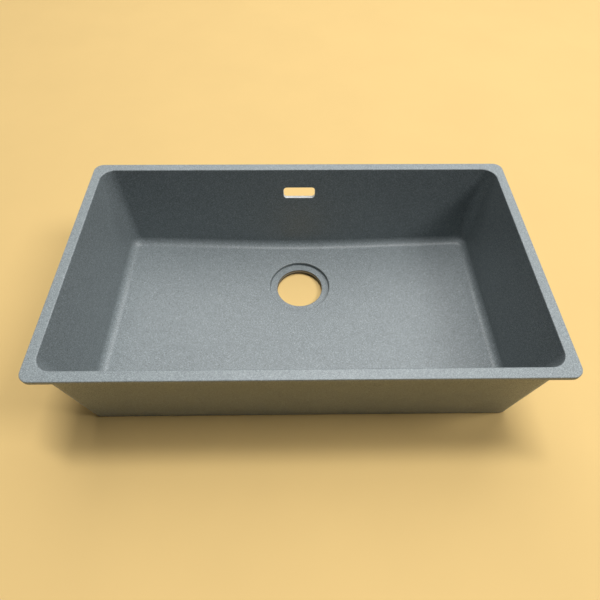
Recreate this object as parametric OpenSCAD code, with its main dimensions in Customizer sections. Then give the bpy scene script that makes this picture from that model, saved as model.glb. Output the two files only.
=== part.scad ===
// Single-bowl kitchen sink, moulded in one piece of mineral composite, for flush fitting in a worktop.
// It stands on its base ring. X runs along the width, +Y towards the overflow wall, Z up.
// Threaded fixing inserts are cast into small lugs under the rim, where worktop clips are screwed on.

/* [Rim] */
// Overall width of the rim, left to right
rim_w = 760; // [680:1:860]
// Overall depth of the rim, front to back
rim_d = 440; // [400:1:520]
// Width of the flat rim between its outer edge and the bowl
rim_land = 16.5; // [14:0.5:22]
// Thickness of the rim at its outer edge
rim_t = 8; // [6:0.5:12]
// Plan radius of the rim's outer corners
rim_corner_r = 16; // [8:1:30]
// Rounding of the rim's two upper edges
rim_edge_r = 1.5; // [0.5:0.5:4]
// Rounding of the rim's lower outer edge
rim_under_edge_r = 1.5; // [0.5:0.5:2.5]

/* [Bowl] */
// Overall height, from the base to the top of the rim
sink_h = 200; // [160:1:240]
// Thickness of the moulded walls
wall_t = 8; // [6:0.5:10]
// Thickness of the bowl's floor
floor_t = 8; // [6:0.5:10]
// Lean of the two side walls from the vertical, in degrees
side_draft = 5; // [2:0.1:7]
// Lean of the front wall from the vertical, in degrees
front_draft = 5.2; // [2:0.1:7]
// Lean of the overflow wall from the vertical, in degrees
back_draft = 8.4; // [3:0.1:10]
// Plan radius of the bowl's upright corners at the rim
corner_top_r = 24; // [18:1:40]
// Plan radius of the bowl's upright corners at the floor
corner_floor_r = 13; // [12:0.5:18]
// Plan radius of the outside's upright corners at the base
corner_base_r = 12; // [8:0.5:24]
// Radius of the fillet where the walls meet the floor
floor_fillet_r = 11; // [6:0.5:12]
// Fall of the floor towards the outlet, in degrees
floor_fall = 2.5; // [1:0.1:4]

/* [Outlet] */
// Diameter of the outlet hole
outlet_d = 90; // [85:0.5:95]
// Distance of the outlet behind the middle of the rim
outlet_back = 70; // [0:1:90]
// Diameter of the recess that takes the strainer's flange
recess_d = 118; // [112:0.5:124]
// Depth of the recess below the edge of the floor
recess_depth = 7.5; // [4:0.5:9]
// Rounding of the recess's upper edge
recess_edge_r = 1.5; // [0.5:0.25:2.5]
// Length of the outlet hole, from the recess to the boss's underside
outlet_l = 10.5; // [8:0.5:16]
// Height of the boss's underside above the surface that the sink stands on
boss_lift = 1.5; // [0:0.5:4]
// Width of the boss round the recess, under the floor
boss_wall = 8; // [6:0.5:14]

/* [Overflow] */
// Width of the overflow slot
slot_w = 60; // [50:1:80]
// Height of the overflow slot
slot_h = 22.5; // [18:0.5:30]
// Radius of the slot's corners
slot_r = 6; // [3:0.5:9]
// Distance from the top of the rim to the middle of the slot
slot_drop = 49.5; // [40:0.5:70]
// Width of the flat seat for the overflow's elbow, outside the slot
seat_w = 92; // [86:1:120]
// Height of the seat
seat_h = 50; // [40:1:58]
// Radius of the seat's corners
seat_r = 12; // [6:1:18]
// Depth of the seat below the back wall's outside
seat_depth = 2; // [1:0.5:3]

/* [Base] */
// Rounding of the outer edge of the base
base_edge_r = 5; // [2:0.5:6]
// Width of the ring that the sink stands on, with its rounded edge
base_ring_w = 10; // [8.5:0.5:12]
// Lean of the hollow's walls under the floor, in degrees
hollow_draft = 3; // [1:0.5:5]
// Radius of the fillet round the hollow's top
hollow_fillet_r = 4; // [2:0.5:5]

/* [Fixings] */
// Distance from each end of the rim to the nearest inserts on the front and the back
fixing_end_gap = 65; // [50:1:90]
// Outer diameter of an insert
insert_d = 7; // [6:0.1:7.5]
// Length of an insert
insert_l = 8.5; // [7:0.1:10]
// Diameter of the tapped hole in an insert, before the thread
insert_bore_d = 4.2; // [3.3:0.1:5]
// Depth of the tapped hole in an insert
insert_bore_l = 7; // [5:0.1:7.5]
// Width of the locking groove round an insert
insert_groove_w = 1.2; // [0.8:0.1:2]
// Depth of the locking groove round an insert
insert_groove_depth = 0.4; // [0.2:0.05:0.5]
// Chamfer at the mouth of an insert's tapped hole
insert_chamfer = 0.4; // [0.2:0.05:0.6]
// Gap round an insert in the moulding
insert_gap = 0.03; // [0.02:0.01:0.1]
// Drop of a fixing lug below the rim
lug_drop = 7; // [6:0.5:10]
// Wall of a lug round its insert, at the lug's end
lug_wall = 2.2; // [1.8:0.1:2.8]

/* [Hidden] */

composite_colour = [0.48, 0.50, 0.53];
brass_colour = [0.78, 0.62, 0.30];

// Steps round one corner, along a long side, along a short side and over a small rounding
corner_steps = 8;
long_steps = 16;
short_steps = 8;
edge_steps = 4;
fillet_steps = 8;
// Steps over the small roundings under the rim and inside the base ring, and over the base's outer edge
hidden_edge_steps = 2;
base_edge_steps = 5;
// Facets round a true cylinder
round_fn = 96;
small_fn = 48;
// Overlap of solids that are joined, and overrun of cuts
bite = 1;

// Heights above the base
recess_z = boss_lift + outlet_l;
low_floor_z = recess_z + recess_depth;
rim_under_z = sink_h - rim_t;
lug_z = rim_under_z - lug_drop;
bowl_depth = sink_h - low_floor_z;

recess_r = recess_d / 2;
boss_r = recess_r + boss_wall;
outlet_at = [0, outlet_back];
// The moulded shell reaches this far inside the outlet hole, and the hole then cuts it clean
shell_overrun = 5;
shell_hole_r = outlet_d / 2 - shell_overrun;
// Fillet between the rim's underside and the outer wall
under_fillet_r = 3;
base_inner_edge_r = 1;
// A lug widens by this much towards the rim
lug_taper = 1;
fixing_inset = rim_land / 2;
fixing_pitch = (rim_w - 2 * fixing_end_gap) / 3;
insert_r = insert_d / 2;
lug_end_r = insert_r + lug_wall;

// Round path: an outline is [half width, back Y, front Y, corner radius].
// A station is [corner number, direction that the outline faces, share of the way to the next corner].
function side_steps(corner) = corner % 2 == 0 ? long_steps : short_steps;

stations = [
    for (corner = [0:3])
        each concat(
            [for (k = [0:corner_steps]) [corner, 90 * (corner + k / corner_steps), 0]],
            [for (k = [1:side_steps(corner) - 1]) [corner, 90 * (corner + 1), k / side_steps(corner)]]
        )
];

function corner_centre(outline, corner) = [
    (corner == 0 || corner == 3 ? 1 : -1) * (outline[0] - outline[3]),
    corner < 2 ? outline[1] - outline[3] : outline[2] + outline[3]
];

function facing(station) = [cos(station[1]), sin(station[1])];

// Point of an outline at a station
function spot(outline, station) =
    (1 - station[2]) * corner_centre(outline, station[0])
    + station[2] * corner_centre(outline, (station[0] + 1) % 4)
    + outline[3] * facing(station);

function grown(outline, by) = [outline[0] + by, outline[1] + by, outline[2] - by, outline[3] + by];

function raised(point, z) = [point[0], point[1], z];

// Outlines at a height
rim_outline = [rim_w / 2, rim_d / 2, -rim_d / 2, rim_corner_r];

function bowl_outline(z) =
    let (down = sink_h - z, corner_change = (corner_top_r - corner_floor_r) / bowl_depth)
    [
        rim_w / 2 - rim_land - down * tan(side_draft),
        rim_d / 2 - rim_land - down * tan(back_draft),
        -rim_d / 2 + rim_land + down * tan(front_draft),
        corner_top_r - down * corner_change
    ];

function outer_outline(z) =
    let (inside = bowl_outline(z), top_r = corner_top_r + wall_t, share = (sink_h - z) / sink_h)
    [
        inside[0] + wall_t,
        inside[1] + wall_t,
        inside[2] - wall_t,
        top_r + share * (corner_base_r - top_r)
    ];

base_outline = outer_outline(0);

// The hollow under the floor follows the bowl's corners
ring_inner_outline = [
    base_outline[0] - base_ring_w,
    base_outline[1] - base_ring_w,
    base_outline[2] + base_ring_w,
    corner_floor_r
];

function hollow_outline(z) = grown(ring_inner_outline, -z * tan(hollow_draft));

// The floor is a shallow cone that falls to the outlet
function floor_z(point) = low_floor_z + (norm([point[0], point[1]] - outlet_at) - recess_r) * tan(floor_fall);

// Sharp meeting line of the bowl's wall and floor
function wall_foot(station) =
    let (first = floor_z(spot(bowl_outline(low_floor_z), station)))
    let (z = floor_z(spot(bowl_outline(first), station)))
    raised(spot(bowl_outline(z), station), z);

// Sharp meeting line of the hollow's wall and its top, a floor's thickness below the bowl's floor
function hollow_foot(station) =
    let (z = floor_z(spot(hollow_outline(0), station)) - floor_t)
    raised(spot(hollow_outline(z), station), z);

// Circular rounding from one tangent point to another, round a sharp corner that turns by an angle
function rounded(from, corner, to, turn, steps) = [
    for (k = [0:steps])
        let (t = k / steps, a = (1 - t) * (1 - t), b = 2 * t * (1 - t) * cos(turn / 2), c = t * t)
        (a * from + b * corner + c * to) / (a + b + c)
];

floor_turn = 90 - side_draft - floor_fall;
floor_tangent = floor_fillet_r * tan(floor_turn / 2);
hollow_turn = 90 + floor_fall - hollow_draft;
hollow_tangent = hollow_fillet_r * tan(hollow_turn / 2);

function on_ring(radius, station) =
    let (away = [wall_foot(station)[0], wall_foot(station)[1]] - outlet_at)
    outlet_at + radius * away / norm(away);

// Section of the shell at one station, from the outlet up the bowl, over the rim and back under the floor
function floor_section(station) =
    let (foot = wall_foot(station))
    let (start = spot(grown(bowl_outline(foot[2]), -floor_tangent), station))
    concat(
        [raised(on_ring(shell_hole_r, station), floor_z(on_ring(shell_hole_r, station)))],
        rounded(
            raised(start, floor_z(start)),
            foot,
            raised(spot(bowl_outline(foot[2] + floor_tangent), station), foot[2] + floor_tangent),
            floor_turn, fillet_steps
        )
    );

function rim_section(station) = concat(
    rounded(
        raised(spot(bowl_outline(sink_h - rim_edge_r), station), sink_h - rim_edge_r),
        raised(spot(bowl_outline(sink_h), station), sink_h),
        raised(spot(grown(bowl_outline(sink_h), rim_edge_r), station), sink_h),
        90, edge_steps
    ),
    rounded(
        raised(spot(grown(rim_outline, -rim_edge_r), station), sink_h),
        raised(spot(rim_outline, station), sink_h),
        raised(spot(rim_outline, station), sink_h - rim_edge_r),
        90, edge_steps
    ),
    rounded(
        raised(spot(rim_outline, station), rim_under_z + rim_under_edge_r),
        raised(spot(rim_outline, station), rim_under_z),
        raised(spot(grown(rim_outline, -rim_under_edge_r), station), rim_under_z),
        90, hidden_edge_steps
    ),
    rounded(
        raised(spot(grown(outer_outline(rim_under_z), under_fillet_r), station), rim_under_z),
        raised(spot(outer_outline(rim_under_z), station), rim_under_z),
        raised(spot(outer_outline(rim_under_z - under_fillet_r), station), rim_under_z - under_fillet_r),
        90, edge_steps
    )
);

function base_section(station) = concat(
    rounded(
        raised(spot(outer_outline(base_edge_r), station), base_edge_r),
        raised(spot(base_outline, station), 0),
        raised(spot(grown(base_outline, -base_edge_r), station), 0),
        90, base_edge_steps
    ),
    rounded(
        raised(spot(grown(ring_inner_outline, base_inner_edge_r), station), 0),
        raised(spot(ring_inner_outline, station), 0),
        raised(spot(hollow_outline(base_inner_edge_r), station), base_inner_edge_r),
        90, hidden_edge_steps
    )
);

function hollow_section(station) =
    let (top = hollow_foot(station))
    let (end = spot(grown(hollow_outline(top[2]), -hollow_tangent), station))
    concat(
        rounded(
            raised(spot(hollow_outline(top[2] - hollow_tangent), station), top[2] - hollow_tangent),
            top,
            raised(end, floor_z(end) - floor_t),
            hollow_turn, edge_steps
        ),
        [raised(on_ring(shell_hole_r, station), floor_z(on_ring(shell_hole_r, station)) - floor_t)]
    );

function shell_section(station) = concat(
    floor_section(station),
    rim_section(station),
    base_section(station),
    hollow_section(station)
);

// The shell is one closed skin: sections joined to their neighbours, all the way round
module moulded_shell() {
    sections = [for (station = stations) shell_section(station)];
    count = len(sections);
    size = len(sections[0]);
    polyhedron(
        points = [for (section = sections) each section],
        faces = [
            for (i = [0:count - 1], j = [0:size - 1])
                let (
                    here = i * size + j,
                    up = i * size + (j + 1) % size,
                    next = ((i + 1) % count) * size + j,
                    next_up = ((i + 1) % count) * size + (j + 1) % size
                )
                each [[here, next, next_up], [here, next_up, up]]
        ]
    );
}

module at_outlet() {
    translate([outlet_at[0], outlet_at[1], 0]) children();
}

// Boss under the floor, which carries the recess and the outlet hole
module outlet_boss() {
    height = low_floor_z - floor_t - boss_lift + bite;
    at_outlet()
        translate([0, 0, boss_lift])
            cylinder(h = height, r1 = boss_r, r2 = boss_r + height * tan(hollow_draft), $fn = round_fn);
}

// Strainer recess with its rounded edge, and the outlet hole through the boss
module outlet_cut() {
    lip_z = low_floor_z - recess_edge_r;
    at_outlet() {
        translate([0, 0, boss_lift - bite]) cylinder(h = outlet_l + 2 * bite, d = outlet_d, $fn = round_fn);
        translate([0, 0, recess_z]) cylinder(h = recess_depth + bite, r = recess_r, $fn = round_fn);
        translate([0, 0, lip_z])
            rotate_extrude($fn = round_fn)
                difference() {
                    square([recess_r + recess_edge_r, recess_edge_r + bite]);
                    translate([recess_r + recess_edge_r, 0]) circle(r = recess_edge_r, $fn = small_fn);
                }
    }
}

module rounded_plate(width, height, corner_r) {
    square([width - 2 * corner_r, height], center = true);
    square([width, height - 2 * corner_r], center = true);
    for (x = [-1, 1], y = [-1, 1])
        translate([x * (width / 2 - corner_r), y * (height / 2 - corner_r)])
            circle(r = corner_r, $fn = small_fn);
}

// Overflow slot, cut straight through the back wall, and the elbow's seat, which leans with the wall
module overflow_cut() {
    slot_z = sink_h - slot_drop;
    wall_y = bowl_outline(slot_z)[1];
    reach = 2 * wall_t;
    translate([0, wall_y + wall_t + reach, slot_z])
        rotate([90, 0, 0])
            linear_extrude(height = wall_t + 2 * reach) rounded_plate(slot_w, slot_h, slot_r);
    translate([0, wall_y + wall_t, slot_z])
        rotate([-90 - back_draft, 0, 0])
            translate([0, 0, -seat_depth])
                linear_extrude(height = seat_depth + reach) rounded_plate(seat_w, seat_h, seat_r);
}

// Places of the inserts, halfway across the rim's land
fixing_y = rim_d / 2 - fixing_inset;
fixing_x = rim_w / 2 - fixing_inset;
outer_x = 1.5 * fixing_pitch;
inner_x = 0.5 * fixing_pitch;
fixings = concat(
    [for (y = [-fixing_y, fixing_y], x = [-outer_x, -inner_x, inner_x, outer_x]) [x, y]],
    [[-fixing_x, 0], [fixing_x, 0]]
);

// Outline of half an insert, with its locking groove; grown by the gap it makes the hollow in the lug
module insert_half_outline(gap) {
    groove_low = insert_l / 2 - insert_groove_w / 2;
    difference() {
        translate([0, -gap]) square([insert_r + gap, insert_l + 2 * gap]);
        translate([insert_r - insert_groove_depth + gap, groove_low + gap])
            square([insert_groove_depth + bite, insert_groove_w - 2 * gap]);
    }
}

module fixing_lug() {
    translate([0, 0, lug_z])
        cylinder(
            h = lug_drop + bite,
            r1 = lug_end_r,
            r2 = lug_end_r + lug_taper * (lug_drop + bite) / lug_drop,
            $fn = small_fn
        );
}

module insert_pocket() {
    translate([0, 0, lug_z]) rotate_extrude($fn = small_fn) insert_half_outline(insert_gap);
}

// Moulded bowl: rim, leaning walls, falling floor, outlet, overflow slot and fixing lugs in one piece
module sink_bowl() {
    color(composite_colour)
        difference() {
            union() {
                moulded_shell();
                outlet_boss();
                for (place = fixings) translate(place) fixing_lug();
            }
            outlet_cut();
            overflow_cut();
            for (place = fixings) translate(place) insert_pocket();
        }
}

// Brass insert with a blind tapped hole, flush with the end of its lug
module fixing_insert(place) {
    color(brass_colour)
        translate([place[0], place[1], lug_z])
            rotate_extrude($fn = small_fn)
                difference() {
                    insert_half_outline(0);
                    translate([0, -bite]) square([insert_bore_d / 2, insert_bore_l + bite]);
                    polygon([
                        [0, 0],
                        [insert_bore_d / 2 + insert_chamfer, 0],
                        [insert_bore_d / 2, insert_chamfer],
                        [0, insert_chamfer]
                    ]);
                }
}

sink_bowl();
fixing_insert(fixings[0]);  // insert_front_outer_left
fixing_insert(fixings[1]);  // insert_front_inner_left
fixing_insert(fixings[2]);  // insert_front_inner_right
fixing_insert(fixings[3]);  // insert_front_outer_right
fixing_insert(fixings[4]);  // insert_back_outer_left
fixing_insert(fixings[5]);  // insert_back_inner_left
fixing_insert(fixings[6]);  // insert_back_inner_right
fixing_insert(fixings[7]);  // insert_back_outer_right
fixing_insert(fixings[8]);  // insert_left_end
fixing_insert(fixings[9]);  // insert_right_end
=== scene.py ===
"""Single-bowl composite kitchen sink, dressed for a studio picture.

The bowl and its threaded inserts are made by Geometry Nodes from the sizes below, which are the
sizes of the moulding in millimetres. The materials are procedural and read Object coordinates.
"""
import math
from types import SimpleNamespace

import bpy
from mathutils import Matrix, Vector


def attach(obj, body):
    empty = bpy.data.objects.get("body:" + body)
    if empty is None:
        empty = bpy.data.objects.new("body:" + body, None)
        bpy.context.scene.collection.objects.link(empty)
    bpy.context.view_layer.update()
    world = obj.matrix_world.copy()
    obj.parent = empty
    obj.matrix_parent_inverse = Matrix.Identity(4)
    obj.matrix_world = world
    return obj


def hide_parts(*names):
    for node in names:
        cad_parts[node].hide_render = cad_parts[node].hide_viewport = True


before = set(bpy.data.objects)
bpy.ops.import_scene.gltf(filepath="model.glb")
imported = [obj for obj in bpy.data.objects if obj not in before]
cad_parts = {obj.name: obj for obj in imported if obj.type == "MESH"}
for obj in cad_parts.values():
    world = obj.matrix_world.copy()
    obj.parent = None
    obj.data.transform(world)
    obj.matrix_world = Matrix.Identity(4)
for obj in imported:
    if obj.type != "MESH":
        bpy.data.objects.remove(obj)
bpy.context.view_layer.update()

MM = 0.001

# Sizes of the moulded bowl, in millimetres
BOWL_LENGTHS = {
    "rim_width": 760.0,
    "rim_depth": 440.0,
    "rim_land": 16.5,
    "rim_thickness": 8.0,
    "rim_corner_radius": 16.0,
    "rim_edge_radius": 1.5,
    "rim_lower_edge_radius": 1.5,
    "height": 200.0,
    "wall": 8.0,
    "floor_thickness": 8.0,
    "corner_radius_at_rim": 24.0,
    "corner_radius_at_floor": 20.0,
    "corner_radius_at_base": 12.0,
    "floor_fillet": 15.0,
    "outlet_diameter": 90.0,
    "outlet_setback": 70.0,
    "outlet_length": 10.5,
    "boss_lift": 1.5,
    "recess_diameter": 118.0,
    "recess_depth": 7.5,
    "recess_edge_radius": 1.5,
    "recess_fillet": 1.0,
    "machined_edge": 0.4,
    "boss_wall": 8.0,
    "boss_fillet": 2.0,
    "slot_width": 60.0,
    "slot_height": 22.5,
    "slot_corner_radius": 6.0,
    "slot_drop": 49.5,
    "seat_width": 92.0,
    "seat_height": 50.0,
    "seat_corner_radius": 12.0,
    "seat_depth": 2.0,
    "under_rim_fillet": 3.0,
    "base_edge_radius": 5.0,
    "base_ring_width": 10.0,
    "base_inner_edge": 1.0,
    "hollow_corner_radius": 13.0,
    "hollow_fillet": 4.0,
}

# Angles of the moulded bowl, in degrees
BOWL_ANGLES = {
    "side_draft": 5.0,
    "front_draft": 5.2,
    "back_draft": 8.4,
    "floor_fall": 2.5,
    "hollow_draft": 3.0,
}

# Sizes of the lugs and the threaded inserts, in millimetres
FIXING_LENGTHS = {
    "fixing_end_gap": 65.0,
    "lug_drop": 7.0,
    "lug_wall": 2.2,
    "lug_taper": 1.0,
    "insert_diameter": 7.0,
    "insert_length": 8.5,
    "insert_gap": 0.03,
}
INSERT_LENGTHS = {
    "bore_diameter": 4.2,
    "bore_length": 7.0,
    "mouth_chamfer": 0.4,
    "thread_pitch": 0.8,
    "thread_depth": 0.38,
    "groove_width": 1.2,
    "groove_depth": 0.4,
    "knurl_depth": 0.22,
    "knurl_margin": 0.9,
}
KNURL_TEETH = 24

KNURL_SLOPE = 0.15 * MM

# How finely the bowl is divided
CORNER_STEPS = 16
SIDE_STEPS = 44
ROUNDING_STEPS = 6
ROUNDINGS = 14
# How strongly a side's columns gather towards its middle, from 0 to 1
SIDE_GATHER = 0.6
# Rows beside each rounding keep the shading of the flat faces even
EDGE_PAD = 0.6 * MM
SHARP_ANGLE = math.radians(35.0)
MERGE_DISTANCE = 0.002 * MM

# How finely the plugs, lugs and inserts are divided
PLUG_CORNER_STEPS = 8
PLUG_SIDE_STEPS = 2
LUG_SIDES = 48
KNURL_COLUMNS_PER_TOOTH = 3
THREAD_ROWS = 44
# Share of the thread over which it rises from the bore at each end
THREAD_RUN_IN = 1.0 / 12.0

# How far a cutter reaches past the faces that it cuts, and a lug or pocket into what it meets
CUT_REACH = 3.0 * MM
JOIN_REACH = 1.0 * MM

# Camera, from the photograph's viewing angle: place in millimetres and turns in degrees
CAMERA_PLACE = (-10.35, -475.84, 757.11)
CAMERA_YAW = 1.193
CAMERA_PITCH = 55.326
CAMERA_ROLL = -0.601
CAMERA_FOCAL_PIXELS = 454.86
PICTURE_PIXELS = 600
SENSOR_WIDTH = 36.0

# Finishes. A scale is the number of grains or waves in a metre. A tone of 1 leaves the colour as it is
# written, and the shares say how far a grain, wave or band moves the tone. A relief is a depth in
# metres and a strength.
MOULDED = SimpleNamespace(
    colour=(0.192, 0.219, 0.226),
    plain_tone=0.96,
    grain_scale=1400.0,
    light_share=0.64,
    dark_share=0.40,
    coarse_scale=560.0,
    coarse_share=0.02,
    fine_scale=1900.0,
    fine_share=0.24,
    haze_scale=14.0,
    haze_share=0.04,
    fleck_colour=(0.52, 0.55, 0.56),
    fleck_scale=820.0,
    fleck_marks=(0.9965, 0.9975),
    fleck_share=0.55,
    # The top of the rim is painted paler: painted light for the extra light and sheen that the level top
    # catches
    rim_top_painted_light_share=0.25,
    rim_top_painted_light_depths=(0.0004, 0.0001),
    roughness=(0.40, 0.48),
    roughness_scale=45.0,
    specular=0.5,
    relief=(0.00006, 0.5),
)
# A grain is light or dark where its random number passes from the first mark to the second
GRAIN_MARKS = (0.70, 0.88)
# Noise gathers near its middle, so what lies between two marks is spread from 0 to 1
NOISE_MARKS = (0.3, 0.7)
HAZE_MARKS = (0.35, 0.65)
TOOLED_GRAIN_SCALE = 1000.0
ROUTED_PAINTED_LIGHT = SimpleNamespace(
    # Painted light: the near-white colour stands for the bright reflection on the routed cut
    colour=(0.90, 0.93, 0.94),
    plain_tone=0.94,
    grain_share=0.16,
    mark_pitch=0.0009,
    mark_share=0.08,
    roughness=0.3,
    relief=(0.00005, 0.4),
)
# The bore is painted dark as shade: darkest below the first band and palest between the two, which are given
# as heights
BORED_PAINTED_SHADE = SimpleNamespace(
    # Painted shade: the bore's colour is darker than the moulding's
    colour=(0.115, 0.118, 0.120),
    plain_tone=0.25,
    upper_share=0.45,
    ring_share=1.9,
    low_band=(0.0052, 0.0060),
    high_band=(0.0080, 0.0088),
    roughness=0.5,
    relief=(0.00015, 0.6),
)
TURNED = SimpleNamespace(
    colour=(0.60, 0.43, 0.17),
    dull_scale=420.0,
    dull_marks=(0.35, 0.7),
    dull_tone=0.72,
    roughness=0.26,
    dull_roughness=0.2,
    fine_scale=2600.0,
    relief=(0.00002, 0.4),
)
FLOOR = SimpleNamespace(
    colour=(0.82, 0.575, 0.235),
    scale=5.0,
    unevenness=0.015,
    roughness=0.9,
    specular=0.2,
    radius=4.0,
    sides=96,
)

# Lamps, all at one distance in metres from a point in the bowl. Each has its tilt from overhead to the
# right and to the back, in degrees, its width and depth in metres, and its light: 1 on a surface that
# faces it shows a colour as it is written.
LAMP_AIM = (0.0, 0.0, 0.1)
LAMP_DISTANCE = 5.0
LAMPS = {
    "overhead": (5.0, 9.2, 2.0, 0.5, 0.56),
    "right": (39.0, -8.0, 1.4, 1.4, 0.38),
    "rear": (9.0, 33.0, 5.0, 3.2, 0.50),
}


# Sums inside node trees

class Term:
    """A value inside a node tree, which plain sums can be written with."""

    def __init__(self, tree, socket):
        self.tree = tree
        self.socket = socket

    def __add__(self, other):
        return combine("ADD", self, other)

    def __radd__(self, other):
        return combine("ADD", other, self)

    def __sub__(self, other):
        return combine("SUBTRACT", self, other)

    def __rsub__(self, other):
        return combine("SUBTRACT", other, self)

    def __mul__(self, other):
        return combine("MULTIPLY", self, other)

    def __rmul__(self, other):
        return combine("MULTIPLY", self, other)

    def __truediv__(self, other):
        return combine("DIVIDE", self, other)

    def __rtruediv__(self, other):
        return combine("DIVIDE", other, self)

    def __neg__(self):
        return combine("MULTIPLY", self, -1.0)


def is_vector(value):
    return isinstance(value, Term) and value.socket.type == "VECTOR"


def feed(socket, value):
    """Links a term to a socket, or sets a plain value on it."""
    if isinstance(value, Term):
        value.tree.links.new(value.socket, socket)
    else:
        socket.default_value = value


def combine(operation, *values):
    """Math node, or a Vector Math node where one of the values is a vector."""
    tree = next(value.tree for value in values if isinstance(value, Term))
    if any(is_vector(value) for value in values):
        node = tree.nodes.new("ShaderNodeVectorMath")
        if operation == "MULTIPLY" and not all(is_vector(value) for value in values):
            node.operation = "SCALE"
            vector_value, number = values if is_vector(values[0]) else reversed(values)
            feed(node.inputs["Vector"], vector_value)
            feed(node.inputs["Scale"], number)
            return Term(tree, node.outputs["Vector"])
    else:
        node = tree.nodes.new("ShaderNodeMath")
    node.operation = operation
    for socket, value in zip(node.inputs, values):
        feed(socket, value)
    return Term(tree, node.outputs[0])


def sine(angle):
    return combine("SINE", angle)


def cosine(angle):
    return combine("COSINE", angle)


def tangent(angle):
    return combine("TANGENT", angle)


def whole(value):
    return combine("FLOOR", value)


def smaller(first, second):
    return combine("MINIMUM", first, second)


def larger(first, second):
    return combine("MAXIMUM", first, second)


def above(first, second):
    return combine("GREATER_THAN", first, second)


def below(first, second):
    return combine("LESS_THAN", first, second)


def vector(tree, x, y, z):
    node = tree.nodes.new("ShaderNodeCombineXYZ")
    for socket, value in zip(node.inputs, (x, y, z)):
        feed(socket, value)
    return Term(tree, node.outputs["Vector"])


def split(value):
    node = value.tree.nodes.new("ShaderNodeSeparateXYZ")
    feed(node.inputs["Vector"], value)
    return [Term(value.tree, output) for output in node.outputs]


def length(value):
    node = value.tree.nodes.new("ShaderNodeVectorMath")
    node.operation = "LENGTH"
    feed(node.inputs[0], value)
    return Term(value.tree, node.outputs["Value"])


def unit(value):
    return combine("NORMALIZE", value)


def flat(value):
    """The value without its height."""
    return combine("MULTIPLY", value, vector(value.tree, 1.0, 1.0, 0.0))


def add_node(tree, kind, settings=(), **inputs):
    """New node with its settings, and its inputs by name, with underscores for spaces."""
    node = tree.nodes.new(kind)
    for name, value in dict(settings).items():
        setattr(node, name, value)
    for name, value in inputs.items():
        feed(node.inputs[name.replace("_", " ")], value)
    return node


def output_of(node, name):
    return Term(node.id_data, node.outputs[name])


# Geometry trees

def new_tree(name, sizes):
    """Geometry tree with a named input for each size; returns the tree, its sizes and their sockets."""
    tree = bpy.data.node_groups.new(name, "GeometryNodeTree")
    tree.interface.new_socket("Geometry", in_out="OUTPUT", socket_type="NodeSocketGeometry")
    sockets = {}
    for key in sizes:
        title = key.replace("_", " ").capitalize()
        sockets[key] = tree.interface.new_socket(title, in_out="INPUT", socket_type="NodeSocketFloat")
    source = tree.nodes.new("NodeGroupInput")
    terms = {key: Term(tree, source.outputs[number]) for number, key in enumerate(sizes)}
    return tree, SimpleNamespace(**terms), sockets


def finish_tree(tree, geometry):
    sink = tree.nodes.new("NodeGroupOutput")
    feed(sink.inputs["Geometry"], geometry)


def made_by_tree(name, tree, sockets, sizes):
    """Runs the tree on an empty mesh, and keeps the result as a plain mesh object at the origin."""
    carrier = bpy.data.objects.new(name + "_carrier", bpy.data.meshes.new(name + "_carrier"))
    bpy.context.scene.collection.objects.link(carrier)
    modifier = carrier.modifiers.new("Nodes", "NODES")
    modifier.node_group = tree
    for key, value in sizes.items():
        modifier[sockets[key].identifier] = value
    bpy.context.view_layer.update()
    graph = bpy.context.evaluated_depsgraph_get()
    mesh = bpy.data.meshes.new_from_object(
        carrier.evaluated_get(graph), preserve_all_data_layers=True, depsgraph=graph,
    )
    mesh.name = name
    carrier.modifiers.remove(modifier)
    bpy.data.objects.remove(carrier)
    piece = bpy.data.objects.new(name, mesh)
    bpy.context.scene.collection.objects.link(piece)
    return piece


def grid(tree, columns, rows):
    """Grid of vertices, with each vertex's column and row number."""
    mesh = add_node(tree, "GeometryNodeMeshGrid", Vertices_X=columns, Vertices_Y=rows)
    index = output_of(add_node(tree, "GeometryNodeInputIndex"), "Index")
    column = whole(index / float(rows))
    return output_of(mesh, "Mesh"), column, index - column * float(rows)


def placed(geometry, place):
    node = add_node(geometry.tree, "GeometryNodeSetPosition", Geometry=geometry, Position=place)
    return output_of(node, "Geometry")


def closed_skin(geometry):
    """Welds a wrapped grid's seams and poles, and turns its faces outwards."""
    weld = add_node(geometry.tree, "GeometryNodeMergeByDistance", Geometry=geometry, Distance=MERGE_DISTANCE)
    flip = add_node(geometry.tree, "GeometryNodeFlipFaces", Mesh=output_of(weld, "Geometry"))
    return output_of(flip, "Mesh")


def joined(*geometries):
    tree = geometries[0].tree
    node = tree.nodes.new("GeometryNodeJoinGeometry")
    for geometry in reversed(geometries):
        feed(node.inputs["Geometry"], geometry)
    return output_of(node, "Geometry")


def smooth_except_edges(geometry):
    """Smooth faces, with a crisp line at each edge that turns sharply."""
    tree = geometry.tree
    smooth = add_node(
        tree, "GeometryNodeSetShadeSmooth", {"domain": "FACE"}, Geometry=geometry, Shade_Smooth=True,
    )
    angle = output_of(add_node(tree, "GeometryNodeInputMeshEdgeAngle"), "Unsigned Angle")
    crisp = add_node(
        tree, "GeometryNodeSetShadeSmooth", {"domain": "EDGE"},
        Geometry=output_of(smooth, "Geometry"), Selection=above(angle, SHARP_ANGLE), Shade_Smooth=False,
    )
    return output_of(crisp, "Geometry")


def realized(geometry):
    return output_of(add_node(geometry.tree, "GeometryNodeRealizeInstances", Geometry=geometry), "Geometry")


def with_material(geometry, material, selection=True):
    node = add_node(geometry.tree, "GeometryNodeSetMaterial", Geometry=geometry, Selection=selection)
    node.inputs["Material"].default_value = material
    return output_of(node, "Geometry")


def chosen(tree, number, values):
    """The value that a whole number points at."""
    node = tree.nodes.new("GeometryNodeIndexSwitch")
    node.data_type = "VECTOR" if any(is_vector(value) for value in values) else "FLOAT"
    while len(node.index_switch_items) < len(values):
        node.index_switch_items.new()
    feed(node.inputs["Index"], number)
    for socket, value in zip(list(node.inputs)[1:], values):
        feed(socket, value)
    return Term(tree, node.outputs[0])


# Bowl

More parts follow.
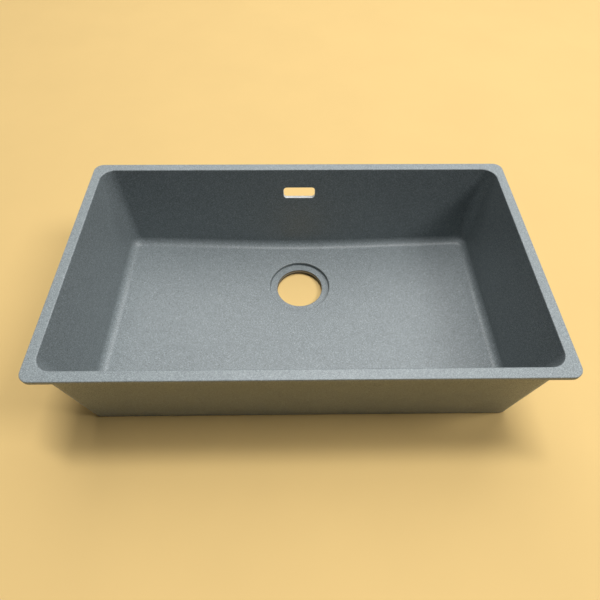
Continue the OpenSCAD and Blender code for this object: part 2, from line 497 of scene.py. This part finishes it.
def station(tree, column, corner_steps, side_steps, gather):
    """Where a column stands on the way round: the corner it follows, its facing and its share of the side."""
    per_corner = float(corner_steps + side_steps)
    corner = combine("MODULO", whole(column / per_corner), 4.0)
    step = column - whole(column / per_corner) * per_corner
    turn = smaller(step / float(corner_steps), 1.0)
    even = larger((step - float(corner_steps)) / float(side_steps), 0.0)
    share = even + sine(even * (2.0 * math.pi)) * (gather / (2.0 * math.pi))
    angle = (corner + turn) * (math.pi / 2.0)
    return SimpleNamespace(
        share=share,
        facing=vector(tree, cosine(angle), sine(angle), 0.0),
        corners=[corner_side(corner), corner_side(corner + 1.0)],
    )


def corner_side(corner):
    """Side of a corner: 1 or -1 across, and 1 at the back or 0 at the front."""
    middle = (corner + 0.5) * (math.pi / 2.0)
    return combine("SIGN", cosine(middle)), above(sine(middle), 0.0)


def corner_centre(outline, side):
    half_width, back, front, radius = outline
    across, at_back = side
    y = at_back * (back - radius) + (1.0 - at_back) * (front + radius)
    return vector(across.tree, across * (half_width - radius), y, 0.0)


def spot(outline, at):
    """Point of an outline at a station. An outline is half width, back, front and corner radius."""
    first, second = [corner_centre(outline, side) for side in at.corners]
    return (1.0 - at.share) * first + at.share * second + outline[3] * at.facing


def rounding_weight(turn):
    return cosine(turn * 0.5)


def bowl_section(tree, size, at):
    """The roundings of the bowl's section, in order: from, sharp corner, to, and the angle turned."""
    quarter = math.pi / 2.0
    boss_low_z = size.boss_lift
    recess_z = boss_low_z + size.outlet_length
    low_floor_z = recess_z + size.recess_depth
    recess_r = size.recess_diameter * 0.5
    outlet_r = size.outlet_diameter * 0.5
    fall = tangent(size.floor_fall)
    under_z = size.height - size.rim_thickness
    corner_change = (size.corner_radius_at_rim - size.corner_radius_at_floor) / (size.height - low_floor_z)
    outlet = vector(tree, 0.0, size.outlet_setback, 0.0)
    up = vector(tree, 0.0, 0.0, 1.0)

    rim_outline = (size.rim_width * 0.5, size.rim_depth * 0.5, size.rim_depth * -0.5, size.rim_corner_radius)
    mouth_outline = (
        size.rim_width * 0.5 - size.rim_land,
        size.rim_depth * 0.5 - size.rim_land,
        size.rim_land - size.rim_depth * 0.5,
        size.corner_radius_at_rim,
    )
    lean = (-tangent(size.side_draft), -tangent(size.back_draft), tangent(size.front_draft), -corner_change)
    outer_r = size.corner_radius_at_rim + size.wall
    outer_mouth = (
        mouth_outline[0] + size.wall,
        mouth_outline[1] + size.wall,
        mouth_outline[2] - size.wall,
        outer_r,
    )
    outer_lean = (*lean[:3], (size.corner_radius_at_base - outer_r) / size.height)
    ring_outline = (
        outer_mouth[0] + size.height * lean[0] - size.base_ring_width,
        outer_mouth[1] + size.height * lean[1] - size.base_ring_width,
        outer_mouth[2] + size.height * lean[2] + size.base_ring_width,
        size.hollow_corner_radius,
    )
    rim_spot = spot(rim_outline, at)
    mouth_spot = spot(mouth_outline, at)
    lean_spot = spot(lean, at)
    outer_mouth_spot = spot(outer_mouth, at)
    outer_lean_spot = spot(outer_lean, at)
    ring_spot = spot(ring_outline, at)

    def on_rim(z, grow):
        return rim_spot + grow * at.facing + up * z

    def on_bowl(z, grow=0.0):
        return mouth_spot + (size.height - z) * lean_spot + grow * at.facing + up * z

    def on_outside(z, grow=0.0):
        return outer_mouth_spot + (size.height - z) * outer_lean_spot + grow * at.facing + up * z

    def floor_z(point):
        return low_floor_z + (length(flat(point) - outlet) - recess_r) * fall

    def on_floor(point, drop=0.0):
        return flat(point) + up * (floor_z(point) - drop)

    foot_z = floor_z(on_bowl(floor_z(on_bowl(low_floor_z))))
    foot = on_bowl(foot_z)
    outwards = unit(flat(foot) - outlet)

    def on_ring(radius, z):
        return outlet + outwards * radius + up * z

    edge = size.machined_edge
    lip_turn = quarter - size.floor_fall
    lip = size.recess_edge_radius * tangent(lip_turn * 0.5)
    floor_turn = quarter - size.side_draft - size.floor_fall
    floor_reach = size.floor_fillet * tangent(floor_turn * 0.5)
    rim_r = size.rim_edge_radius
    low_r = size.rim_lower_edge_radius
    under_r = size.under_rim_fillet
    base_r = size.base_edge_radius
    hollow_lean = tangent(size.hollow_draft)

    def on_base(grow):
        return on_outside(0.0, grow)

    def on_hollow(z, grow=0.0):
        return ring_spot + (grow - z * hollow_lean) * at.facing + up * z

    hollow_turn = quarter + size.floor_fall - size.hollow_draft
    hollow_reach = size.hollow_fillet * tangent(hollow_turn * 0.5)
    hollow_z = floor_z(on_hollow(0.0)) - size.floor_thickness
    hollow_top = on_hollow(hollow_z)
    boss_r = recess_r + size.boss_wall
    boss_z = low_floor_z + size.boss_wall * fall - size.floor_thickness
    boss_top_r = boss_r + (boss_z - boss_low_z) * hollow_lean
    boss_turn = quarter - size.floor_fall - size.hollow_draft
    boss_reach = size.boss_fillet * tangent(boss_turn * 0.5)

    return [
        (
            on_ring(outlet_r + edge, boss_low_z),
            on_ring(outlet_r, boss_low_z),
            on_ring(outlet_r, boss_low_z + edge),
            quarter,
        ),
        (
            on_ring(outlet_r, recess_z - edge),
            on_ring(outlet_r, recess_z),
            on_ring(outlet_r + edge, recess_z),
            quarter,
        ),
        (
            on_ring(recess_r - size.recess_fillet, recess_z),
            on_ring(recess_r, recess_z),
            on_ring(recess_r, recess_z + size.recess_fillet),
            quarter,
        ),
        (
            on_ring(recess_r, low_floor_z - lip),
            on_ring(recess_r, low_floor_z),
            on_ring(recess_r + lip * cosine(size.floor_fall), low_floor_z + lip * sine(size.floor_fall)),
            lip_turn,
        ),
        (on_floor(on_bowl(foot_z, -floor_reach)), foot, on_bowl(foot_z + floor_reach), floor_turn),
        (on_bowl(size.height - rim_r), on_bowl(size.height), on_bowl(size.height, rim_r), quarter),
        (on_rim(size.height, -rim_r), on_rim(size.height, 0.0), on_rim(size.height - rim_r, 0.0), quarter),
        (on_rim(under_z + low_r, 0.0), on_rim(under_z, 0.0), on_rim(under_z, -low_r), quarter),
        (on_outside(under_z, under_r), on_outside(under_z), on_outside(under_z - under_r), quarter),
        (on_outside(base_r), on_base(0.0), on_base(-base_r), quarter),
        (ring_spot + size.base_inner_edge * at.facing, ring_spot, on_hollow(size.base_inner_edge), quarter),
        (
            on_hollow(hollow_z - hollow_reach),
            hollow_top,
            on_floor(on_hollow(hollow_z, -hollow_reach), size.floor_thickness),
            hollow_turn,
        ),
        (
            on_ring(boss_top_r + boss_reach, boss_z + boss_reach * fall),
            on_ring(boss_top_r, boss_z),
            on_ring(boss_top_r - boss_reach * hollow_lean, boss_z - boss_reach),
            boss_turn,
        ),
        (
            on_ring(boss_r + edge * hollow_lean, boss_low_z + edge),
            on_ring(boss_r, boss_low_z),
            on_ring(boss_r - edge, boss_low_z),
            quarter,
        ),
    ]


def bowl_skin(tree, size):
    """The whole moulding but for its slot and lugs: one skin, closed both ways round."""
    rows_each = ROUNDING_STEPS + 3
    rows = ROUNDINGS * rows_each
    columns = 4 * (CORNER_STEPS + SIDE_STEPS)
    mesh, column, row = grid(tree, columns + 1, rows + 1)
    column = combine("MODULO", column, float(columns))
    row = combine("MODULO", row, float(rows))
    at = station(tree, column, CORNER_STEPS, SIDE_STEPS, SIDE_GATHER)
    roundings = bowl_section(tree, size, at)
    number = whole(row / float(rows_each))
    step = row - number * float(rows_each)
    start, corner, end = [chosen(tree, number, [rounding[k] for rounding in roundings]) for k in range(3)]
    weight = rounding_weight(chosen(tree, number, [rounding[3] for rounding in roundings]))
    t = smaller(larger((step - 1.0) / float(ROUNDING_STEPS), 0.0), 1.0)
    before = (1.0 - t) * (1.0 - t)
    middle = t * (1.0 - t) * 2.0 * weight
    after = t * t
    place = (before * start + middle * corner + after * end) * (1.0 / (before + middle + after))
    first_pad = larger(1.0 - step, 0.0) * EDGE_PAD
    last_pad = larger(step - float(ROUNDING_STEPS + 1), 0.0) * EDGE_PAD
    place = place + unit(start - corner) * first_pad + unit(end - corner) * last_pad
    return closed_skin(placed(mesh, place))


def rounded_plug(tree, outline, rows):
    """Closed plug with rounded corners. Each row is a depth, a growth and 1, or 0 where the plug closes."""
    columns = 4 * (PLUG_CORNER_STEPS + PLUG_SIDE_STEPS)
    mesh, column, row = grid(tree, columns + 1, len(rows))
    column = combine("MODULO", column, float(columns))
    at = station(tree, column, PLUG_CORNER_STEPS, PLUG_SIDE_STEPS, 0.0)
    depth, grow, keep = [chosen(tree, row, list(values)) for values in zip(*rows)]
    across, rise, _ = split((spot(outline, at) + grow * at.facing) * keep)
    return mesh, across, rise, depth


def plug_outline(width, height, radius):
    return width * 0.5, height * 0.5, height * -0.5, radius


def slot_cutter(tree, size):
    """Plug that cuts the overflow slot, level through the back wall, and breaks its edges."""
    edge = size.machined_edge
    flare = edge + CUT_REACH
    through = size.wall - size.seat_depth / cosine(size.back_draft)
    rows = [
        (-CUT_REACH, 0.0, 0.0), (-CUT_REACH, flare, 1.0), (edge, 0.0, 1.0),
        (through - edge, 0.0, 1.0), (through + CUT_REACH, flare, 1.0), (through + CUT_REACH, 0.0, 0.0),
    ]
    outline = plug_outline(size.slot_width, size.slot_height, size.slot_corner_radius)
    mesh, across, rise, depth = rounded_plug(tree, outline, rows)
    inner_y = size.rim_depth * 0.5 - size.rim_land - (size.slot_drop - rise) * tangent(size.back_draft)
    place = vector(tree, across, inner_y + depth, size.height - size.slot_drop + rise)
    return closed_skin(placed(mesh, place))


def seat_cutter(tree, size):
    """Plug that sinks the elbow's seat into the outside of the back wall, square to the leaning wall."""
    edge = size.machined_edge
    flare = edge + CUT_REACH
    rows = [(-size.seat_depth, 0.0, 0.0), (-size.seat_depth, 0.0, 1.0), (-edge, 0.0, 1.0),
            (CUT_REACH, flare, 1.0), (CUT_REACH, 0.0, 0.0)]
    outline = plug_outline(size.seat_width, size.seat_height, size.seat_corner_radius)
    mesh, across, rise, depth = rounded_plug(tree, outline, rows)
    lean_sine, lean_cosine = sine(size.back_draft), cosine(size.back_draft)
    outer_y = size.rim_depth * 0.5 - size.rim_land + size.wall - size.slot_drop * tangent(size.back_draft)
    y = outer_y + rise * lean_sine + depth * lean_cosine
    z = size.height - size.slot_drop + rise * lean_cosine - depth * lean_sine
    return closed_skin(placed(mesh, vector(tree, across, y, z)))


# Fixings and cuts

def fixing_points(tree, size):
    """Places of the inserts: four along the front and the back, and one at each end."""
    fixing_x = (size.rim_width - size.rim_land) * 0.5
    fixing_y = (size.rim_depth - size.rim_land) * 0.5
    long_rows = add_node(
        tree, "GeometryNodeMeshGrid",
        Size_X=size.rim_width - size.fixing_end_gap * 2.0, Size_Y=fixing_y * 2.0, Vertices_X=4, Vertices_Y=2,
    )
    ends = add_node(
        tree, "GeometryNodeMeshLine", {"mode": "END_POINTS"}, Count=2,
        Start_Location=vector(tree, -fixing_x, 0.0, 0.0), Offset=vector(tree, fixing_x, 0.0, 0.0),
    )
    lug_z = size.height - size.rim_thickness - size.lug_drop
    points = joined(output_of(long_rows, "Mesh"), output_of(ends, "Mesh"))
    move = add_node(tree, "GeometryNodeSetPosition", Geometry=points, Offset=vector(tree, 0.0, 0.0, lug_z))
    return output_of(move, "Geometry")


def on_each_point(points, instance):
    node = add_node(points.tree, "GeometryNodeInstanceOnPoints", Points=points, Instance=instance)
    return realized(output_of(node, "Instances"))


def marked(geometry, mark, selection=True):
    """Marks the faces that a tool cuts into the moulding."""
    node = add_node(
        geometry.tree, "GeometryNodeStoreNamedAttribute", {"data_type": "BOOLEAN", "domain": "FACE"},
        Geometry=geometry, Name=mark, Value=selection,
    )
    return output_of(node, "Geometry")


def with_marked_material(geometry, mark, material):
    named = add_node(geometry.tree, "GeometryNodeInputNamedAttribute", {"data_type": "BOOLEAN"}, Name=mark)
    return with_material(geometry, material, output_of(named, "Attribute"))


def boolean(operation, first, second):
    """Union or difference of two closed meshes."""
    tree = first.tree
    node = tree.nodes.new("GeometryNodeMeshBoolean")
    node.operation = operation
    node.solver = "EXACT"
    if operation == "UNION":
        for geometry in (second, first):
            feed(node.inputs["Mesh 2"], geometry)
    else:
        feed(node.inputs["Mesh 1"], first)
        feed(node.inputs["Mesh 2"], second)
    return output_of(node, "Mesh")


def bowl_tree(sizes, composite, cut_painted_light, bored_painted_shade):
    """Geometry tree of the moulded bowl, with its outlet, slot and fixing lugs."""
    tree, size, sockets = new_tree("Moulded bowl", sizes)
    position = output_of(add_node(tree, "GeometryNodeInputPosition"), "Position")
    from_outlet = length(flat(position) - vector(tree, 0.0, size.outlet_setback, 0.0))
    in_bore = below(from_outlet, size.outlet_diameter * 0.5 + size.machined_edge)
    skin = marked(bowl_skin(tree, size), "bored", in_bore)

    lug_end_r = size.insert_diameter * 0.5 + size.lug_wall
    lug_height = size.lug_drop + JOIN_REACH
    lug = add_node(
        tree, "GeometryNodeMeshCone", Vertices=LUG_SIDES, Depth=lug_height, Radius_Bottom=lug_end_r,
        Radius_Top=lug_end_r + size.lug_taper * lug_height / size.lug_drop,
    )
    points = fixing_points(tree, size)
    lugs = on_each_point(points, output_of(lug, "Mesh"))

    pocket_depth = size.insert_length + size.insert_gap
    pocket = add_node(
        tree, "GeometryNodeMeshCylinder", Vertices=LUG_SIDES,
        Radius=size.insert_diameter * 0.5 + size.insert_gap, Depth=pocket_depth + JOIN_REACH,
    )
    pocket_up = add_node(
        tree, "GeometryNodeTransform", Geometry=output_of(pocket, "Mesh"),
        Translation=vector(tree, 0.0, 0.0, (pocket_depth - JOIN_REACH) * 0.5),
    )
    pockets = on_each_point(points, output_of(pocket_up, "Geometry"))
    cutters = joined(marked(slot_cutter(tree, size), "routed"), pockets)
    skin = boolean("DIFFERENCE", skin, seat_cutter(tree, size))

    body = boolean("DIFFERENCE", boolean("UNION", skin, lugs), cutters)
    body = with_material(realized(smooth_except_edges(body)), composite)
    body = with_marked_material(body, "routed", cut_painted_light)
    finish_tree(tree, with_marked_material(body, "bored", bored_painted_shade))
    return tree, sockets


def insert_tree(sizes, brass):
    """Geometry tree of the threaded inserts: knurled outside, with a groove, and a threaded blind hole."""
    tree, size, sockets = new_tree("Threaded inserts", sizes)
    columns = KNURL_TEETH * KNURL_COLUMNS_PER_TOOTH
    outer_r = size.insert_diameter * 0.5
    bore_r = size.bore_diameter * 0.5
    middle = size.insert_length * 0.5
    half_groove = size.groove_width * 0.5
    root_r = outer_r - size.groove_depth
    chamfer = size.mouth_chamfer
    margin = size.knurl_margin
    slope = KNURL_SLOPE
    # Each corner of the half section is a radius, a height and how much of the knurl it has
    outside = [
        (0.0, size.insert_length, 0.0),
        (outer_r - slope * 2.0, size.insert_length, 0.0),
        (outer_r, size.insert_length - slope * 2.0, 0.0),
        (outer_r, size.insert_length - margin + slope, 0.0),
        (outer_r, size.insert_length - margin, 1.0),
        (outer_r, middle + half_groove + slope, 1.0),
        (root_r, middle + half_groove, 0.0),
        (root_r, middle - half_groove, 0.0),
        (outer_r, middle - half_groove - slope, 1.0),
        (outer_r, margin, 1.0),
        (outer_r, margin - slope, 0.0),
        (outer_r, slope * 2.0, 0.0),
        (outer_r - slope * 2.0, 0.0, 0.0),
        (bore_r + chamfer, 0.0, 0.0),
        (bore_r, chamfer, 0.0),
    ]
    row_count = len(outside) + THREAD_ROWS + 1
    mesh, column, row = grid(tree, columns + 1, row_count)
    column = combine("MODULO", column, float(columns))
    angle = column * (2.0 * math.pi / columns)
    row_outside = smaller(row, float(len(outside) - 1))
    radius = chosen(tree, row_outside, [corner[0] for corner in outside])
    height = chosen(tree, row_outside, [corner[1] for corner in outside])
    knurled = chosen(tree, row_outside, [corner[2] for corner in outside])
    tooth = combine("PINGPONG", column / float(KNURL_COLUMNS_PER_TOOTH), 0.5)
    radius = radius - knurled * tooth * 2.0 * size.knurl_depth

    into = larger(row - float(len(outside) - 1), 0.0) / float(THREAD_ROWS)
    share = smaller(into, 1.0)
    bore_z = chamfer + share * (size.bore_length - chamfer)
    turns = bore_z / size.thread_pitch - angle / (2.0 * math.pi)
    flank = combine("PINGPONG", turns, 0.5)
    fade = smaller(smaller(share, 1.0 - share) * (1.0 / THREAD_RUN_IN), 1.0)
    bore_radius = bore_r + flank * 2.0 * size.thread_depth * fade
    inside = above(into, 0.0)
    at_centre = above(row, float(row_count) - 1.5)
    radius = ((1.0 - inside) * radius + inside * bore_radius) * (1.0 - at_centre)
    height = (1.0 - inside) * height + inside * bore_z
    insert = closed_skin(placed(mesh, vector(tree, radius * cosine(angle), radius * sine(angle), height)))
    inserts = on_each_point(fixing_points(tree, size), insert)
    finish_tree(tree, with_material(realized(smooth_except_edges(inserts)), brass))
    return tree, sockets


# Materials

def new_material(name):
    """Material with a Principled shader; returns its tree and shader."""
    material = bpy.data.materials.new(name)
    material.use_nodes = True
    tree = material.node_tree
    return material, tree, tree.nodes["Principled BSDF"]


def object_place(tree):
    return output_of(tree.nodes.new("ShaderNodeTexCoord"), "Object")


def noise(tree, place, scale, detail=3.0, roughness=0.5):
    """Soft noise from 0 to 1."""
    node = add_node(
        tree, "ShaderNodeTexNoise", {"noise_dimensions": "3D"},
        Vector=place, Scale=scale, Detail=detail, Roughness=roughness,
    )
    return output_of(node, "Fac" if "Fac" in node.outputs else "Factor")


def grains(tree, place, scale):
    """A random number from 0 to 1 for each grain."""
    node = add_node(tree, "ShaderNodeTexVoronoi", {"voronoi_dimensions": "3D"}, Vector=place, Scale=scale)
    return split(output_of(node, "Color"))[0]


def ramp(value, low, high):
    """0 below the low mark and 1 above the high one, with a straight rise between them."""
    node = add_node(
        value.tree, "ShaderNodeMapRange", {"clamp": True},
        Value=value, From_Min=low, From_Max=high, To_Min=0.0, To_Max=1.0,
    )
    return output_of(node, "Result")


def mixed(share, first, second):
    """Colour between two colours."""
    tree = share.tree
    node = tree.nodes.new("ShaderNodeMix")
    node.data_type = "RGBA"
    colours = [socket for socket in node.inputs if socket.type == "RGBA"]
    feed(node.inputs[0], share)
    for socket, colour in zip(colours, (first, second)):
        feed(socket, colour if isinstance(colour, Term) else (*colour, 1.0))
    return Term(tree, next(socket for socket in node.outputs if socket.type == "RGBA"))


def scaled(colour, by):
    return tuple(channel * by for channel in colour)


def bumped(shader, height, distance, strength):
    tree = height.tree
    node = add_node(tree, "ShaderNodeBump", Height=height, Distance=distance, Strength=strength)
    feed(shader.inputs["Normal"], output_of(node, "Normal"))


def toned(tree, colour, tone):
    """A colour made lighter or darker by a tone round 1."""
    return vector(tree, *colour) * tone


def moulded_material(name, finish):
    """Moulded mineral composite: a satin body with fine light and dark grains, a few pale flecks, and a rim
    top painted paler as light.
    """
    material, tree, shader = new_material(name)
    place = object_place(tree)
    grain = grains(tree, place, finish.grain_scale)
    coarse = grains(tree, place, finish.coarse_scale)
    fleck = grains(tree, place, finish.fleck_scale)
    haze = ramp(noise(tree, place, finish.haze_scale, 4.0), *HAZE_MARKS)
    fine = ramp(noise(tree, place, finish.fine_scale, 2.0), *NOISE_MARKS)
    light = ramp(grain, *GRAIN_MARKS)
    dark = ramp(1.0 - grain, *GRAIN_MARKS)
    rim_top = BOWL_LENGTHS["height"] * MM
    # Painted light: the flat top of the rim is made paler than the rest of the moulding
    rim_top_painted_light = ramp(split(place)[2], *[rim_top - depth for depth in finish.rim_top_painted_light_depths])

    tone = finish.plain_tone + (haze - 0.5) * finish.haze_share
    tone = tone + (fine - 0.5) * finish.fine_share + (coarse - 0.5) * finish.coarse_share
    tone = tone + light * finish.light_share - dark * finish.dark_share + rim_top_painted_light * finish.rim_top_painted_light_share
    body = toned(tree, finish.colour, tone)
    flecked = ramp(fleck, *finish.fleck_marks) * finish.fleck_share
    feed(shader.inputs["Base Color"], mixed(flecked, body, finish.fleck_colour))

    low, high = finish.roughness
    patches = ramp(noise(tree, place, finish.roughness_scale, 5.0), *NOISE_MARKS)
    feed(shader.inputs["Roughness"], low + (high - low) * patches)
    shader.inputs["Specular IOR Level"].default_value = finish.specular
    bumped(shader, fine * 0.5 + grain * 0.5, *finish.relief)
    return material


def routed_painted_light_material(name, finish):
    """Composite where the overflow slot is routed through: smooth from the tool, and painted near white, a
    painted highlight for the bright reflection that the cut face catches.
    """
    material, tree, shader = new_material(name)
    place = object_place(tree)
    grain = grains(tree, place, TOOLED_GRAIN_SCALE)
    marks = sine(split(place)[0] * (2.0 * math.pi / finish.mark_pitch)) * 0.5 + 0.5
    tone = finish.plain_tone + (grain - 0.5) * finish.grain_share + marks * finish.mark_share
    feed(shader.inputs["Base Color"], toned(tree, finish.colour, tone))
    shader.inputs["Roughness"].default_value = finish.roughness
    bumped(shader, marks * 0.5 + grain * 0.5, *finish.relief)
    return material


def bored_painted_shade_material(name, finish):
    """Composite in the bore of the outlet: painted shade makes it dark, darkest in its lower part, with a
    pale band between two heights.
    """
    material, tree, shader = new_material(name)
    place = object_place(tree)
    grain = grains(tree, place, TOOLED_GRAIN_SCALE)
    height = split(place)[2]
    upper = ramp(height, *finish.low_band)
    ring = upper - ramp(height, *finish.high_band)
    tone = finish.plain_tone + upper * finish.upper_share + ring * finish.ring_share
    feed(shader.inputs["Base Color"], toned(tree, finish.colour, tone))
    shader.inputs["Roughness"].default_value = finish.roughness
    bumped(shader, ring * 0.6 + grain * 0.4, *finish.relief)
    return material


def turned_material(name, finish):
    """Turned brass, slightly dulled."""
    material, tree, shader = new_material(name)
    place = object_place(tree)
    dull = noise(tree, place, finish.dull_scale, 4.0)
    dulled = scaled(finish.colour, finish.dull_tone)
    feed(shader.inputs["Base Color"], mixed(ramp(dull, *finish.dull_marks), finish.colour, dulled))
    shader.inputs["Metallic"].default_value = 1.0
    feed(shader.inputs["Roughness"], finish.roughness + finish.dull_roughness * dull)
    bumped(shader, noise(tree, place, finish.fine_scale, 2.0), *finish.relief)
    return material


def floor_material(name, finish):
    """Plain pale floor, matt, with the slightest unevenness."""
    material, tree, shader = new_material(name)
    tone = noise(tree, object_place(tree), finish.scale, 3.0)
    darker = scaled(finish.colour, 1.0 - finish.unevenness)
    lighter = scaled(finish.colour, 1.0 + finish.unevenness)
    feed(shader.inputs["Base Color"], mixed(ramp(tone, *NOISE_MARKS), darker, lighter))
    shader.inputs["Roughness"].default_value = finish.roughness
    shader.inputs["Specular IOR Level"].default_value = finish.specular
    return material


# Studio

def add_floor(radius, sides, material):
    """Round floor, so that it ends in an even line from every side."""
    angles = [2.0 * math.pi * side / sides for side in range(sides)]
    mesh = bpy.data.meshes.new("studio_floor")
    outline = [(radius * math.cos(angle), radius * math.sin(angle), 0.0) for angle in angles]
    mesh.from_pydata(outline, [], [tuple(range(sides))])
    mesh.materials.append(material)
    floor = bpy.data.objects.new("studio_floor", mesh)
    bpy.context.scene.collection.objects.link(floor)
    return floor


def add_camera():
    """Camera at the photograph's viewing angle."""
    yaw, pitch, roll = [math.radians(turn) for turn in (CAMERA_YAW, CAMERA_PITCH, CAMERA_ROLL)]
    forward = Vector((math.sin(yaw) * math.cos(pitch), math.cos(yaw) * math.cos(pitch), -math.sin(pitch)))
    level_right = Vector((math.cos(yaw), -math.sin(yaw), 0.0))
    level_down = forward.cross(level_right)
    right = level_right * math.cos(roll) + level_down * math.sin(roll)
    down = level_down * math.cos(roll) - level_right * math.sin(roll)
    turned = Matrix((right, -down, -forward)).transposed().to_4x4()
    data = bpy.data.cameras.new("camera")
    data.sensor_width = SENSOR_WIDTH
    data.lens = CAMERA_FOCAL_PIXELS / PICTURE_PIXELS * SENSOR_WIDTH
    camera = bpy.data.objects.new("camera", data)
    camera.matrix_world = Matrix.Translation(Vector(CAMERA_PLACE) * MM) @ turned
    bpy.context.scene.collection.objects.link(camera)
    bpy.context.scene.camera = camera
    return camera


def add_lamp(name, tilt_right, tilt_back, width, depth, light):
    """Soft rectangular lamp that hangs round the bowl and faces it."""
    aim = Vector(LAMP_AIM)
    away = Vector((math.tan(math.radians(tilt_right)), math.tan(math.radians(tilt_back)), 1.0)).normalized()
    data = bpy.data.lights.new(name, "AREA")
    data.shape = "RECTANGLE"
    data.size = width
    data.size_y = depth
    data.energy = light * (math.pi * LAMP_DISTANCE) ** 2
    lamp = bpy.data.objects.new(name, data)
    turned = (-away).to_track_quat("-Z", "Y").to_matrix().to_4x4()
    lamp.matrix_world = Matrix.Translation(aim + away * LAMP_DISTANCE) @ turned
    bpy.context.scene.collection.objects.link(lamp)
    return lamp


def set_world():
    """Plain white surroundings, which the camera and glossy surfaces see. The lamps alone light the rest."""
    world = bpy.data.worlds.new("studio")
    world.use_nodes = True
    tree = world.node_tree
    path = tree.nodes.new("ShaderNodeLightPath")
    seen = larger(output_of(path, "Is Camera Ray"), output_of(path, "Is Glossy Ray"))
    background = tree.nodes["Background"]
    background.inputs["Color"].default_value = (1.0, 1.0, 1.0, 1.0)
    feed(background.inputs["Strength"], larger(seen, output_of(path, "Is Transmission Ray")))
    bpy.context.scene.world = world


def in_metres(lengths):
    return {key: value * MM for key, value in lengths.items()}


def in_radians(angles):
    return {key: math.radians(value) for key, value in angles.items()}


# The scene

add_camera()
bpy.context.scene.view_settings.view_transform = "Standard"

composite = moulded_material("moulded_composite", MOULDED)
cut_painted_light = routed_painted_light_material("cut_painted_light", ROUTED_PAINTED_LIGHT)
bored_painted_shade = bored_painted_shade_material("bored_painted_shade", BORED_PAINTED_SHADE)
brass = turned_material("turned_brass", TURNED)

bowl_sizes = {**in_metres(BOWL_LENGTHS), **in_radians(BOWL_ANGLES), **in_metres(FIXING_LENGTHS)}
tree, sockets = bowl_tree(bowl_sizes, composite, cut_painted_light, bored_painted_shade)
bowl = made_by_tree("moulded_bowl", tree, sockets, bowl_sizes)
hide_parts("sink_bowl")
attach(bowl, "root")

rim_keys = ("rim_width", "rim_depth", "rim_land", "rim_thickness", "height")
rim_lengths = {key: BOWL_LENGTHS[key] for key in rim_keys}
insert_sizes = in_metres({**rim_lengths, **FIXING_LENGTHS, **INSERT_LENGTHS})
tree, sockets = insert_tree(insert_sizes, brass)
inserts = made_by_tree("threaded_inserts", tree, sockets, insert_sizes)
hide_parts(*[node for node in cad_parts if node.startswith("insert_")])
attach(inserts, "root")

add_floor(FLOOR.radius, FLOOR.sides, floor_material("pale_floor", FLOOR))
set_world()
for name, (tilt_right, tilt_back, width, depth, light) in LAMPS.items():
    add_lamp(name, tilt_right, tilt_back, width, depth, light)
